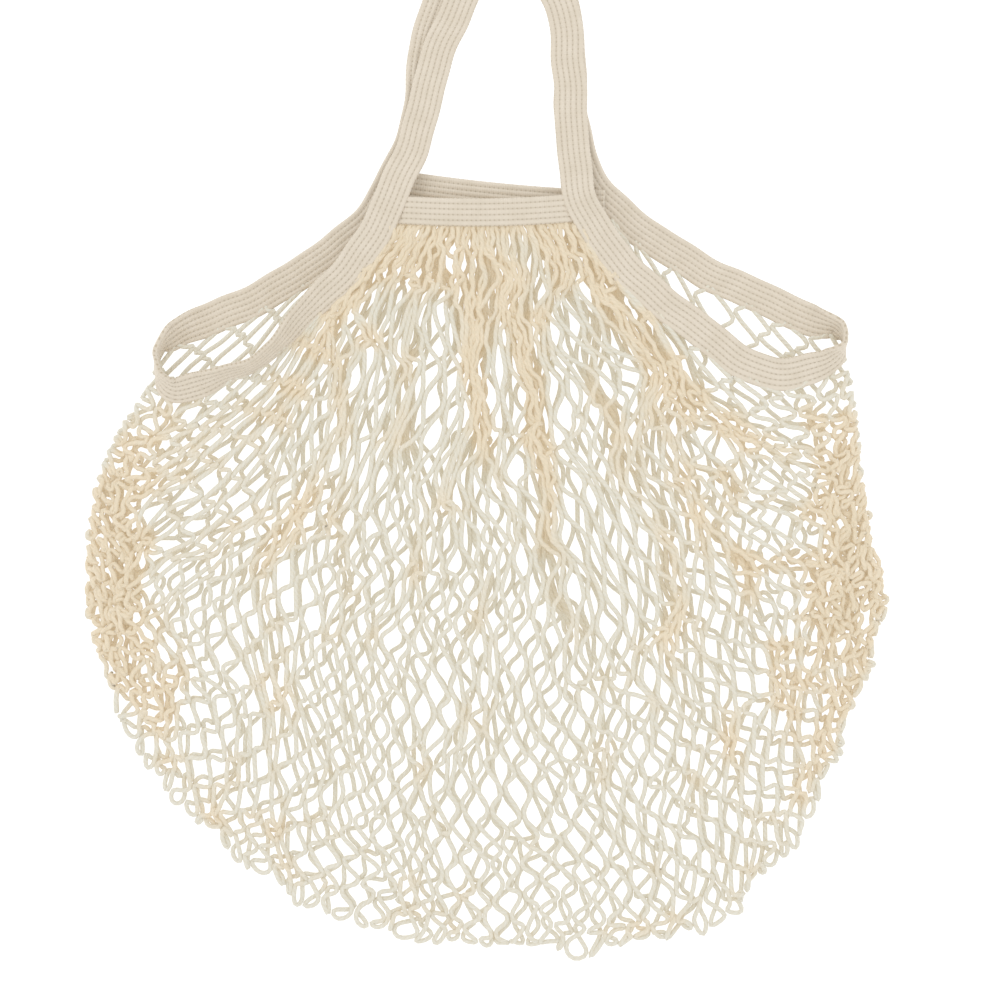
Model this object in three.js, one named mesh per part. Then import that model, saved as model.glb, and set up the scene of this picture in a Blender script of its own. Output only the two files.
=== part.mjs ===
// A cotton mesh shopping bag, empty and lying flat with its front up.
// One long webbing strap is sewn into a loop: it edges both sides of the mouth and rises into
// a handle at the front and one at the back. A short band closes the gathered net at the foot
// of each handle. The net itself is one sheet, folded at the bottom and joined at the sides.
// Millimetres, +Z up, +Y from the bottom fold towards the handles, floor at z = 0.

import * as THREE from "three";

// Driving dimensions: webbing
const STRAP_WIDTH = 12.3;
const STRAP_THICKNESS = 1.8;
const STRAP_STEPS = 190;
const BAND_HEIGHT = 10.4;
const BAND_THICKNESS = 1.8;
const BAND_SAG = 1.6;
const FRONT_BAND_FLOOR = 7.5;
const FRONT_BAND_LOW_EDGE = [82.0, 83.0];
const BACK_BAND_LOW_EDGE = [91.3, 86.2];
const SEAM_GAP = 0.4;

// Driving dimensions: net
const NET_COLUMNS = 18;
const NET_ROWS = 8;
const NET_THICKNESS = 1.8;
const CORD_SHARE = 0.22;
const NET_GAP = 1.8;
const FOLD_HEIGHT = 1.8;
const SLACK_HEIGHT = 5.4;

// Colours of the unbleached cotton
const WEBBING_COLOUR = 0xded3c3;
const BAND_COLOUR = 0xdccfb8;
const NET_COLOUR = 0xd9d0be;

// Route of the strap's middle line, once round the loop. Each point has x, y, the height of the
// strap's lower side above the floor, and its roll: 0 lies flat with the outer face up, 90 stands
// on edge at the ends of the mouth, 180 lies flat with the outer face down.
const FRONT_LEFT = [
  [-33.7, 95.0, 7.5, 0],
  [-41.5, 77.9, 7.5, 0],
  [-54.8, 60.6, 6.4, 16],
  [-69.0, 46.4, 4.9, 50],
  [-78.6, 35.6, 4.6, 68],
  [-86.0, 29.8, 4.6, 72],
  [-96.0, 26.2, 4.6, 64],
  [-107.0, 21.8, 4.0, 38],
];
const LEFT_CORNER = [
  [-116.0, 20.6, 3.0, 42],
  [-121.6, 27.6, 2.6, 78],
  [-121.0, 35.4, 2.2, 98],
  [-114.6, 41.4, 1.0, 140],
];
const BACK_LEFT = [
  [-99.3, 48.4, 0, 180],
  [-69.9, 63.5, 0, 180],
  [-42.3, 86.1, 0, 180],
  [-34.0, 100.0, 0, 180],
];
const BACK_HANDLE = [
  [-25.8, 120.0, 0, 180],
  [-22.5, 146.0, 0, 180],
  [-17.0, 167.0, 0, 180],
  [-5.0, 180.2, 0, 180],
  [6.5, 182.9, 0, 180],
  [18.4, 179.6, 0, 180],
  [27.6, 167.0, 0, 180],
  [31.2, 146.0, 0, 180],
  [32.6, 121.0, 0, 180],
];
const BACK_RIGHT = [
  [38.0, 101.0, 0, 180],
  [57.9, 80.2, 0, 180],
  [85.5, 63.2, 0, 180],
  [104.0, 54.6, 0, 180],
  [121.0, 46.4, 0.6, 162],
];
const RIGHT_CORNER = [
  [130.4, 43.8, 1.8, 118],
  [133.4, 38.2, 2.6, 86],
  [128.4, 31.6, 3.2, 44],
];
const FRONT_RIGHT = [
  [118.6, 27.6, 4.6, 16],
  [107.4, 26.4, 5.6, 8],
  [96.3, 30.4, 6.6, 4],
  [72.1, 48.2, 7.5, 0],
  [49.0, 68.9, 7.5, 0],
  [36.3, 89.4, 7.5, 0],
];
const FRONT_HANDLE = [
  [32.2, 115.0, 3.6, 0],
  [31.1, 143.0, 2.3, 0],
  [27.5, 165.0, 2.3, 0],
  [17.4, 180.0, 2.3, 0],
  [8.0, 183.8, 2.3, 0],
  [-0.8, 179.9, 2.3, 0],
  [-8.5, 167.0, 2.3, 0],
  [-18.0, 145.5, 2.3, 0],
  [-24.0, 121.0, 3.2, 0],
];

// Bottom and side fold of the net, from below the left end of the mouth round to the right end.
const FOLD_OUTLINE = [
  [-141.0, -2.0],
  [-147.6, -20.5],
  [-149.0, -42.8],
  [-145.2, -68.9],
  [-134.6, -102.5],
  [-111.0, -131.0],
  [-82.8, -157.0],
  [-47.8, -175.6],
  [-9.5, -185.6],
  [27.8, -189.2],
  [56.8, -188.6],
  [85.6, -175.6],
  [107.4, -154.8],
  [125.6, -127.0],
  [140.4, -94.8],
  [150.6, -68.0],
  [146.6, -46.6],
  [142.0, -16.8],
  [139.0, 4.0],
];

// Where the net leaves the strap at the two ends of the mouth and runs on to the fold.
const LEFT_SHOULDER = new THREE.Vector3(-123.0, 12.6, 1.8);
const RIGHT_SHOULDER = new THREE.Vector3(129.0, 15.2, 1.8);

const strapSections = [
  FRONT_LEFT, LEFT_CORNER, BACK_LEFT, BACK_HANDLE, BACK_RIGHT, RIGHT_CORNER, FRONT_RIGHT, FRONT_HANDLE,
];
const strapPoints = strapSections.flat();
const strapPlan = new THREE.CatmullRomCurve3(
  strapPoints.map(([x, y]) => new THREE.Vector3(x, y, 0)),
  true,
);

// Place of a section's first point along the strap, counted in route points.
function routeIndex(section) {
  return strapPoints.indexOf(section[0]);
}

// Smoothly varying height or roll between the route points.
function alongRoute(place, channel) {
  const count = strapPoints.length;
  const first = Math.floor(place);
  const share = THREE.MathUtils.smoothstep(place - first, 0, 1);
  const from = strapPoints[((first % count) + count) % count][channel];
  const to = strapPoints[(((first + 1) % count) + count) % count][channel];
  return THREE.MathUtils.lerp(from, to, share);
}

function strapCentre(place) {
  const count = strapPoints.length;
  const share = (((place / count) % 1) + 1) % 1;
  const centre = strapPlan.getPoint(share);
  const roll = THREE.MathUtils.degToRad(alongRoute(place, 3));
  const reach = (STRAP_WIDTH * Math.abs(Math.sin(roll)) + STRAP_THICKNESS * Math.abs(Math.cos(roll))) / 2;
  centre.z = alongRoute(place, 2) + reach;
  return centre;
}

// Centre, width direction (towards the free edge) and outward direction of the strap at a place.
function strapFrame(place) {
  const nearby = 0.02;
  const centre = strapCentre(place);
  const along = strapCentre(place + nearby).sub(strapCentre(place - nearby)).normalize();
  const roll = THREE.MathUtils.degToRad(alongRoute(place, 3));
  const level = new THREE.Vector3(along.y, -along.x, 0).normalize();
  const wide = level.multiplyScalar(Math.cos(roll));
  wide.z += Math.sin(roll);
  wide.addScaledVector(along, -along.dot(wide)).normalize();
  const outward = new THREE.Vector3().crossVectors(wide, along);
  return { centre, wide, outward };
}

// A point beside the strap's sewn edge, a small gap away from it.
function sewnEdge(place, gap) {
  const { centre, wide } = strapFrame(place);
  return centre.addScaledVector(wide, -(STRAP_WIDTH / 2 + gap));
}

// Place on the strap, between two others, where its sewn edge stands at a given y.
function placeAtHeight(low, high, y, gap) {
  const rising = sewnEdge(high, gap).y > sewnEdge(low, gap).y;
  let from = low;
  let to = high;
  for (let round = 0; round < 40; round += 1) {
    const middle = (from + to) / 2;
    if (sewnEdge(middle, gap).y < y === rising) {
      from = middle;
    } else {
      to = middle;
    }
  }
  return (from + to) / 2;
}

// Points at equal distances along the sewn edge between two places, and on to the end of the fold.
function edgeRun(from, to, beyond, steps) {
  const stops = 24;
  const points = [];
  for (let k = 0; k <= stops; k += 1) {
    points.push(sewnEdge(THREE.MathUtils.lerp(from, to, k / stops), NET_GAP));
  }
  const run = new THREE.CatmullRomCurve3([...points, ...beyond]);
  return run.getSpacedPoints(steps);
}

// A mesh of triangles with its faces pointing out, whichever way round they were listed.
function closedGeometry(vertices, triangles) {
  let volume = 0;
  for (const [a, b, c] of triangles) {
    const across = new THREE.Vector3().crossVectors(vertices[b], vertices[c]);
    volume += vertices[a].dot(across);
  }
  const facing = volume > 0 ? triangles : triangles.map(([a, b, c]) => [a, c, b]);
  const geometry = new THREE.BufferGeometry();
  const positions = vertices.flatMap((vertex) => [vertex.x, vertex.y, vertex.z]);
  geometry.setAttribute("position", new THREE.Float32BufferAttribute(positions, 3));
  geometry.setIndex(facing.flat());
  geometry.computeVertexNormals();
  return geometry;
}

// The strap: a flat section carried once round the route.
function strapGeometry() {
  const vertices = [];
  const triangles = [];
  const corners = [[1, 1], [-1, 1], [-1, -1], [1, -1]];
  for (let step = 0; step < STRAP_STEPS; step += 1) {
    const frame = strapFrame((step / STRAP_STEPS) * strapPoints.length);
    for (const [across, out] of corners) {
      const corner = frame.centre.clone();
      corner.addScaledVector(frame.wide, (across * STRAP_WIDTH) / 2);
      corner.addScaledVector(frame.outward, (out * STRAP_THICKNESS) / 2);
      vertices.push(corner);
    }
    const here = step * 4;
    const next = ((step + 1) % STRAP_STEPS) * 4;
    for (let side = 0; side < 4; side += 1) {
      const beside = (side + 1) % 4;
      triangles.push([here + side, here + beside, next + beside]);
      triangles.push([here + side, next + beside, next + side]);
    }
  }
  return closedGeometry(vertices, triangles);
}

// A band: a short sagging strip between the sewn edges of the two legs of a handle.
function bandGeometry(left, right, lowEdge) {
  const [lowLeft, lowRight] = lowEdge;
  const end = ([from, to], y) => sewnEdge(placeAtHeight(from, to, y, SEAM_GAP), SEAM_GAP).x;
  const middle = (lowLeft + lowRight) / 2 - 2 * BAND_SAG;
  const shape = new THREE.Shape();
  shape.moveTo(end(left, lowLeft), lowLeft);
  shape.quadraticCurveTo(0, middle, end(right, lowRight), lowRight);
  shape.lineTo(end(right, lowRight + BAND_HEIGHT), lowRight + BAND_HEIGHT);
  shape.quadraticCurveTo(0, middle + BAND_HEIGHT, end(left, lowLeft + BAND_HEIGHT), lowLeft + BAND_HEIGHT);
  return new THREE.ExtrudeGeometry(shape, {
    depth: BAND_THICKNESS,
    bevelEnabled: false,
    curveSegments: 10,
  });
}

// One face of the net as a patch of points between band, strap edges and fold.
function netFace(bandEdge, leftEdge, rightEdge, fold, slack) {
  const steps = leftEdge.length - 1;
  const columns = fold.length - 1;
  const rows = [];
  for (let row = 0; row <= steps; row += 1) {
    const down = row / steps;
    const line = [];
    for (let column = 0; column <= columns; column += 1) {
      const across = column / columns;
      const point = bandEdge(across).multiplyScalar(1 - down);
      point.addScaledVector(fold[column], down);
      point.addScaledVector(leftEdge[row], 1 - across);
      point.addScaledVector(rightEdge[row], across);
      point.addScaledVector(leftEdge[0], -(1 - across) * (1 - down));
      point.addScaledVector(rightEdge[0], -across * (1 - down));
      point.addScaledVector(fold[0], -(1 - across) * down);
      point.addScaledVector(fold[columns], -across * down);
      point.z += slack * Math.sin(Math.PI * down) * Math.sqrt(4 * across * (1 - across));
      point.z = Math.max(point.z, NET_THICKNESS / 2);
      line.push(point);
    }
    rows.push(line);
  }
  return rows;
}

// The grid of points that the net's knots sit on: down the front, round the fold and up the back.
function netGrid() {
  const frontLeft = routeIndex(FRONT_LEFT);
  const backLeft = routeIndex(BACK_LEFT);
  const backRight = routeIndex(BACK_RIGHT);
  const frontRight = routeIndex(FRONT_RIGHT);
  const edgeSteps = 2 * NET_ROWS;
  const columns = 2 * NET_COLUMNS;

  const foldCurve = new THREE.CatmullRomCurve3(
    FOLD_OUTLINE.map(([x, y]) => new THREE.Vector3(x, y, FOLD_HEIGHT)),
  );
  const fold = foldCurve.getSpacedPoints(columns);
  const side = (low, high, y, last, beyond) =>
    edgeRun(placeAtHeight(low, high, y - NET_GAP, NET_GAP), last, beyond, edgeSteps);
  const leftEnd = [LEFT_SHOULDER, fold[0]];
  const rightEnd = [RIGHT_SHOULDER, fold[columns]];
  const [frontLow, frontLowRight] = FRONT_BAND_LOW_EDGE;
  const [backLow, backLowRight] = BACK_BAND_LOW_EDGE;
  const edges = {
    frontLeft: side(frontLeft, frontLeft + 2, frontLow, frontLeft + 7, leftEnd),
    frontRight: side(frontRight + 3, frontRight + 5.5, frontLowRight, frontRight, rightEnd),
    backLeft: side(backLeft + 1, backLeft + 3.5, backLow, backLeft, leftEnd),
    backRight: side(backRight, backRight + 2, backLowRight, backRight + 4, rightEnd),
  };

  const hem = (left, right) => (across) => {
    const point = left.clone().lerp(right, across);
    point.y -= BAND_SAG * 4 * across * (1 - across);
    return point;
  };
  const front = netFace(
    hem(edges.frontLeft[0], edges.frontRight[0]), edges.frontLeft, edges.frontRight, fold, SLACK_HEIGHT,
  );
  const back = netFace(
    hem(edges.backLeft[0], edges.backRight[0]), edges.backLeft, edges.backRight, fold, 0,
  );
  return [...front, ...back.slice(0, -1).reverse()];
}

// The net: diamond meshes between cords of three-sided section. Each knot keeps one ridge point
// on the outside, and one inner corner in each mesh that it touches.
function netGeometry() {
  const grid = netGrid();
  const lastRow = grid.length - 1;
  const lastColumn = grid[0].length - 1;
  const vertices = [];
  const triangles = [];
  const quad = (a, b, c, d) => triangles.push([a, b, c], [a, c, d]);
  const addVertex = (point) => vertices.push(point) - 1;
  const inside = (column, row) => column >= 0 && row >= 0 && column <= lastColumn && row <= lastRow;

  const outwardAt = (column, row) => {
    const right = grid[row][Math.min(column + 1, lastColumn)];
    const left = grid[row][Math.max(column - 1, 0)];
    const below = grid[Math.min(row + 1, lastRow)][column];
    const above = grid[Math.max(row - 1, 0)][column];
    const across = right.clone().sub(left);
    const down = below.clone().sub(above);
    return new THREE.Vector3().crossVectors(down, across).normalize();
  };

  // Ridge and rim points of every knot
  const knots = new Map();
  const keyOf = (column, row) => row * (lastColumn + 1) + column;
  for (let row = 0; row <= lastRow; row += 1) {
    for (let column = row % 2; column <= lastColumn; column += 2) {
      const outward = outwardAt(column, row);
      const place = grid[row][column];
      const onRim = column === 0 || row === 0 || column === lastColumn || row === lastRow;
      const lower = place.clone().addScaledVector(outward, -NET_THICKNESS / 2);
      const ridge = addVertex(place.clone().addScaledVector(outward, NET_THICKNESS / 2));
      knots.set(keyOf(column, row), {
        column, row, place, outward, ridge, rim: onRim ? addVertex(lower) : -1, corners: new Map(),
      });
    }
  }

  // Inner corners of every mesh, and the sloping sides of the cords round it
  const turns = [[1, 0], [0, -1], [-1, 0], [0, 1]];
  const cells = [];
  for (let row = 0; row <= lastRow; row += 1) {
    for (let column = (row + 1) % 2; column <= lastColumn; column += 2) {
      const around = turns
        .filter(([right, down]) => inside(column + right, row + down))
        .map(([right, down]) => knots.get(keyOf(column + right, row + down)));
      const middle = new THREE.Vector3();
      around.forEach((knot) => middle.addScaledVector(knot.place, 1 / around.length));
      for (const knot of around) {
        const corner = knot.place.clone().lerp(middle, CORD_SHARE);
        corner.addScaledVector(knot.outward, -NET_THICKNESS / 2);
        knot.corners.set(keyOf(column, row), addVertex(corner));
      }
      cells.push({ key: keyOf(column, row), around });
    }
  }
  const cellsOfCord = new Map();
  for (const { key, around } of cells) {
    around.forEach((knot, place) => {
      const next = around[(place + 1) % around.length];
      quad(knot.ridge, next.ridge, next.corners.get(key), knot.corners.get(key));
      const ends = [keyOf(knot.column, knot.row), keyOf(next.column, next.row)];
      const cord = `${Math.min(...ends)}-${Math.max(...ends)}`;
      cellsOfCord.set(cord, [...(cellsOfCord.get(cord) ?? []), { key, knot, next }]);
    });
  }

  // Flat inner sides of the cords, and the rim where only one mesh meets a cord
  for (const [first, second] of cellsOfCord.values()) {
    const { key, knot, next } = first;
    if (second) {
      const far = [next.corners.get(second.key), knot.corners.get(second.key)];
      quad(knot.corners.get(key), next.corners.get(key), ...far);
    } else {
      quad(knot.corners.get(key), next.corners.get(key), next.rim, knot.rim);
      quad(knot.rim, next.rim, next.ridge, knot.ridge);
    }
  }

  // Flat inner side of every knot
  for (const knot of knots.values()) {
    const loop = [];
    for (const [right, down] of turns) {
      const beside = inside(knot.column + right, knot.row + down);
      const corner = beside ? knot.corners.get(keyOf(knot.column + right, knot.row + down)) : knot.rim;
      if (!loop.includes(corner)) {
        loop.push(corner);
      }
    }
    for (let place = 1; place < loop.length - 1; place += 1) {
      triangles.push([loop[0], loop[place + 1], loop[place]]);
    }
  }
  return closedGeometry(vertices, triangles);
}

function cottonMesh(name, geometry, color) {
  const material = new THREE.MeshStandardMaterial({ color, roughness: 0.95, metalness: 0 });
  const mesh = new THREE.Mesh(geometry, material);
  mesh.name = name;
  return mesh;
}

const frontLegs = [
  [routeIndex(FRONT_LEFT) - 0.5, routeIndex(FRONT_LEFT) + 2],
  [routeIndex(FRONT_RIGHT) + 3, routeIndex(FRONT_HANDLE) + 0.5],
];
const backLegs = [
  [routeIndex(BACK_LEFT) + 1, routeIndex(BACK_HANDLE) + 0.5],
  [routeIndex(BACK_RIGHT) - 0.5, routeIndex(BACK_RIGHT) + 2],
];

const strap = cottonMesh("strap_loop", strapGeometry(), WEBBING_COLOUR);
const frontBand = cottonMesh("front_band", bandGeometry(...frontLegs, FRONT_BAND_LOW_EDGE), BAND_COLOUR);
frontBand.position.z = FRONT_BAND_FLOOR;
const backBand = cottonMesh("back_band", bandGeometry(...backLegs, BACK_BAND_LOW_EDGE), BAND_COLOUR);
const net = cottonMesh("net", netGeometry(), NET_COLOUR);

const bag = new THREE.Group();
bag.add(strap, frontBand, backBand, net);

export default bag;
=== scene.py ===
import math

import bmesh
import bpy
import numpy as np
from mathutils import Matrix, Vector
from mathutils.kdtree import KDTree


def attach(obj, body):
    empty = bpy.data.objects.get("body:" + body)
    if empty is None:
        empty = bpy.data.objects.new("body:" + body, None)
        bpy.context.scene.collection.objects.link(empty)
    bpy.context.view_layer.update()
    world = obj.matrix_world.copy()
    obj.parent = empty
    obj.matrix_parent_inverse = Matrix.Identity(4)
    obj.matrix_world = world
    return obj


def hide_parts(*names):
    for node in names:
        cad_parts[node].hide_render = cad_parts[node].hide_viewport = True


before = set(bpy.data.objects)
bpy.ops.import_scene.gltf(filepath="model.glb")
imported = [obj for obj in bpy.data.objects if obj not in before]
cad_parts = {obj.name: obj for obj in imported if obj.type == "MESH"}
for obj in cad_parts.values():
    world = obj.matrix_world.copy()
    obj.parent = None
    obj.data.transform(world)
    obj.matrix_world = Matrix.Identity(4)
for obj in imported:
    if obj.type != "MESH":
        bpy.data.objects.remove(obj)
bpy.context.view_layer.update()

# Viewpoint
# The bag lies on a white table and is seen from straight above, square on, from about a metre
# away, so that the handles just run out of the top of the picture.
MM = 0.001
VIEW_CENTRE = (5.4 * MM, -20.3 * MM)
VIEW_WIDTH = 372.5 * MM
VIEW_HEIGHT = 4.0 * MM
LENS = 100.0
SENSOR = 36.0
camera_data = bpy.data.cameras.new("view_from_above")
camera_data.lens = LENS
camera_data.sensor_width = SENSOR
camera = bpy.data.objects.new("view_from_above", camera_data)
camera.location = (*VIEW_CENTRE, VIEW_WIDTH * LENS / SENSOR + VIEW_HEIGHT)
bpy.context.scene.collection.objects.link(camera)
bpy.context.scene.camera = camera


# Table and light
# A plain white table top under a soft tent of light. The table glows a little, as a lit one
# does, so that the openings of the net read white with only a faint shadow beside each cord.
def linear(hex_colour):
    channels = [int(hex_colour[k:k + 2], 16) / 255 for k in (1, 3, 5)]
    return [c / 12.92 if c <= 0.04045 else ((c + 0.055) / 1.055) ** 2.4 for c in channels] + [1.0]


def add_node(tree, kind, settings=None, links=None):
    node = tree.nodes.new(kind)
    for name, value in (settings or {}).items():
        if isinstance(name, int) or name in node.inputs:
            node.inputs[name].default_value = value
        else:
            setattr(node, name, value)
    for name, source in (links or {}).items():
        tree.links.new(source, node.inputs[name])
    return node


table_paint = bpy.data.materials.new("white_matt_table_top")
table_paint.use_nodes = True
table_shader = table_paint.node_tree.nodes["Principled BSDF"]
table_shader.inputs["Base Color"].default_value = linear("#80807e")
table_shader.inputs["Roughness"].default_value = 0.9
table_shader.inputs["Emission Color"].default_value = linear("#ffffff")
table_shader.inputs["Emission Strength"].default_value = 1.0
table_shape = bmesh.new()
bmesh.ops.create_grid(table_shape, x_segments=1, y_segments=1, size=3.0)
table_mesh = bpy.data.meshes.new("table_top")
table_shape.to_mesh(table_mesh)
table_shape.free()
table_mesh.materials.append(table_paint)
table_top = bpy.data.objects.new("table_top", table_mesh)
bpy.context.scene.collection.objects.link(table_top)

world = bpy.data.worlds.new("light_tent")
world.use_nodes = True
world.node_tree.nodes["Background"].inputs["Color"].default_value = linear("#ffffff")
world.node_tree.nodes["Background"].inputs["Strength"].default_value = 0.98
bpy.context.scene.world = world
bpy.context.scene.view_settings.view_transform = "Standard"
bpy.context.scene.view_settings.gamma = 1.2

for name, place, power, size in (
    ("window_light", (-0.9, 0.9, 1.5), 3.5, 0.9),
    ("fill_light", (1.1, -0.6, 1.6), 1.5, 1.2),
):
    lamp_data = bpy.data.lights.new(name, "AREA")
    lamp_data.energy = power
    lamp_data.size = size
    lamp = bpy.data.objects.new(name, lamp_data)
    lamp.location = place
    lamp.rotation_euler = (-Vector(place)).to_track_quat("-Z", "Y").to_euler()
    bpy.context.scene.collection.objects.link(lamp)


# Strap
# One long ribbed webbing strap of knitted cotton, sewn into a loop. It edges both sides of the
# mouth and rises into a handle at the front and one at the back. Between its raised ribs run
# ladders of small holes. Sizes here are in millimetres.
STRAP_WIDTH = 12.3
STRAP_THICKNESS = 1.8
STRAP_RIBS = 6
LADDER_PITCH = 1.7
RIB_GROOVE = 0.34
LADDER_DEPTH = 0.55
EDGE_THINNING = 0.42
MERGE_DISTANCE = 0.01
FINE_PLACES = 4000

# Middle line, once round the loop: x, y, height of the lower side, and roll in degrees, where 0
# lies flat with the outer face up and 180 flat with the outer face down.
STRAP_ROUTE = np.array([
    (-33.7, 95.0, 7.5, 0), (-41.5, 77.9, 7.5, 0), (-54.8, 60.6, 6.4, 16), (-69.0, 46.4, 4.9, 50),
    (-78.6, 35.6, 4.6, 68), (-86.0, 29.8, 4.6, 72), (-96.0, 26.2, 4.6, 64), (-107.0, 21.8, 4.0, 38),
    (-116.0, 20.6, 3.0, 42), (-121.6, 27.6, 2.6, 78), (-121.0, 35.4, 2.2, 98), (-114.6, 41.4, 1.0, 140),
    (-99.3, 48.4, 0, 180), (-69.9, 63.5, 0, 180), (-42.3, 86.1, 0, 180),
    (-34.0, 100.0, 0, 180), (-25.8, 120.0, 0, 180), (-22.5, 146.0, 0, 180), (-17.0, 167.0, 0, 180),
    (-5.0, 180.2, 0, 180), (6.5, 182.9, 0, 180), (18.4, 179.6, 0, 180), (27.6, 167.0, 0, 180),
    (31.2, 146.0, 0, 180), (32.6, 121.0, 0, 180), (38.0, 101.0, 0, 180), (57.9, 80.2, 0, 180),
    (85.5, 63.2, 0, 180), (104.0, 54.6, 0, 180), (121.0, 46.4, 0.6, 162), (130.4, 43.8, 1.8, 118),
    (133.4, 38.2, 2.6, 86), (128.4, 31.6, 3.2, 44), (118.6, 27.6, 4.6, 16), (107.4, 26.4, 5.6, 8),
    (96.3, 30.4, 6.6, 4), (72.1, 48.2, 7.5, 0), (49.0, 68.9, 7.5, 0), (36.3, 89.4, 7.5, 0),
    (32.2, 115.0, 3.6, 0), (31.1, 143.0, 2.3, 0),
    (27.5, 165.0, 2.3, 0), (17.4, 180.0, 2.3, 0), (8.0, 183.8, 2.3, 0), (-0.8, 179.9, 2.3, 0),
    (-8.5, 167.0, 2.3, 0), (-18.0, 145.5, 2.3, 0), (-24.0, 121.0, 3.2, 0),
])


def unit(vectors):
    return vectors / np.linalg.norm(vectors, axis=-1, keepdims=True)


def running_length(points):
    # Distance of each point from the first one, along the line through them.
    steps = np.linalg.norm(np.diff(points, axis=-2), axis=-1)
    return np.concatenate([np.zeros((*steps.shape[:-1], 1)), np.cumsum(steps, axis=-1)], axis=-1)


def strap_centre(places):
    # A smooth closed curve through the route, with height and roll eased from point to point.
    first = np.floor(places).astype(int)
    share = (places - first)[:, None]
    p0, p1, p2, p3 = (STRAP_ROUTE[(first + k) % len(STRAP_ROUTE), :2] for k in (-1, 0, 1, 2))
    spans = (p1 - p0, p2 - p1, p3 - p2)
    d0, d1, d2 = (np.sqrt(np.linalg.norm(span, axis=1))[:, None] for span in spans)
    leave = ((p1 - p0) / d0 - (p2 - p0) / (d0 + d1) + (p2 - p1) / d1) * d1
    arrive = ((p2 - p1) / d1 - (p3 - p1) / (d1 + d2) + (p3 - p2) / d2) * d1
    bend = 2 * p1 - 2 * p2 + leave + arrive
    turn = -3 * p1 + 3 * p2 - 2 * leave - arrive
    plan = p1 + share * (leave + share * (turn + share * bend))
    ease = share * share * (3 - 2 * share)
    low = STRAP_ROUTE[first % len(STRAP_ROUTE), 2:]
    high = STRAP_ROUTE[(first + 1) % len(STRAP_ROUTE), 2:]
    lift, roll = (low + (high - low) * ease).T
    roll = np.radians(roll)
    reach = (STRAP_WIDTH * np.abs(np.sin(roll)) + STRAP_THICKNESS * np.abs(np.cos(roll))) / 2
    return np.column_stack([plan, lift + reach]), roll


def strap_frame(places):
    # Middle, direction towards the free edge, and outward direction of the strap.
    nearby = 0.02
    middle, roll = strap_centre(places)
    along = unit(strap_centre(places + nearby)[0] - strap_centre(places - nearby)[0])
    level = np.column_stack([along[:, 1], -along[:, 0], np.zeros(len(along))])
    wide = unit(level) * np.cos(roll)[:, None]
    wide[:, 2] += np.sin(roll)
    wide = unit(wide - along * np.sum(along * wide, axis=1, keepdims=True))
    return middle, wide, np.cross(wide, along)


def even_places(first, last, count):
    # Places on the route at equal distances along the strap, and the length they span.
    fine = np.linspace(first, last, FINE_PLACES)
    run = running_length(strap_centre(fine)[0])
    return np.interp(np.linspace(0, run[-1], count), run, fine), run[-1]


def ribbed_profile(width, thickness, ribs):
    # Section of the webbing: its offsets across and out, and how much each point lies in a groove.
    per_rib = 4
    steps = np.arange(ribs * per_rib + 1)
    across = width / 2 - width * steps / (ribs * per_rib)
    groove = 1 - np.sqrt(np.abs(np.sin(np.pi * steps / per_rib)))
    groove[[0, -1]] = 1.0
    out = np.full(len(steps), thickness / 2)
    section_across = np.concatenate([across, across[::-1]])
    section_out = np.concatenate([out, -out])
    return section_across, section_out, np.concatenate([groove, groove[::-1]])


def webbing_piece(name, middle, wide, outward, run, width, thickness, ribs, closed):
    # A grid wrapped round the section and carried along the strip. Every second ring of a
    # groove is sunk deeper, which gives the ladder of holes. The map holds millimetres along the
    # strip and in from its edge.
    across, out, groove = ribbed_profile(width, thickness, ribs)
    rings, around = len(middle), len(across)
    sink = np.where(np.arange(rings) % 2 == 0, LADDER_DEPTH, RIB_GROOVE)[:, None] * groove[None, :]
    at_edge = np.isclose(np.abs(across), width / 2)
    sink = np.where(at_edge[None, :], EDGE_THINNING * thickness, sink)
    height = (np.abs(out)[None, :] - sink) * np.sign(out)[None, :]
    points = (
        middle[:, None, :]
        + wide[:, None, :] * across[None, :, None]
        + outward[:, None, :] * height[:, :, None]
    ) * MM
    shape = bmesh.new()
    spans = rings if closed else rings - 1
    bmesh.ops.create_grid(shape, x_segments=around, y_segments=spans, size=1.0)
    sheet_map = shape.loops.layers.uv.new("webbing")
    pitch = run / spans
    shape.verts.ensure_lookup_table()
    place = {}
    for index, vert in enumerate(shape.verts):
        ring, step = divmod(index, around + 1)
        vert.co = points[ring % rings, step % around]
        place[vert] = (ring * pitch, width / 2 - across[step % around])
    for face in shape.faces:
        for loop in face.loops:
            loop[sheet_map].uv = place[loop.vert]
    bmesh.ops.remove_doubles(shape, verts=shape.verts, dist=MERGE_DISTANCE * MM)
    if not closed:
        ends = [edge for edge in shape.edges if edge.is_boundary]
        bmesh.ops.holes_fill(shape, edges=ends, sides=0)
    bmesh.ops.recalc_face_normals(shape, faces=shape.faces)
    mesh = bpy.data.meshes.new(name)
    shape.to_mesh(mesh)
    shape.free()
    mesh.polygons.foreach_set("use_smooth", [True] * len(mesh.polygons))
    piece = bpy.data.objects.new(name, mesh)
    bpy.context.scene.collection.objects.link(piece)
    return piece


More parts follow.
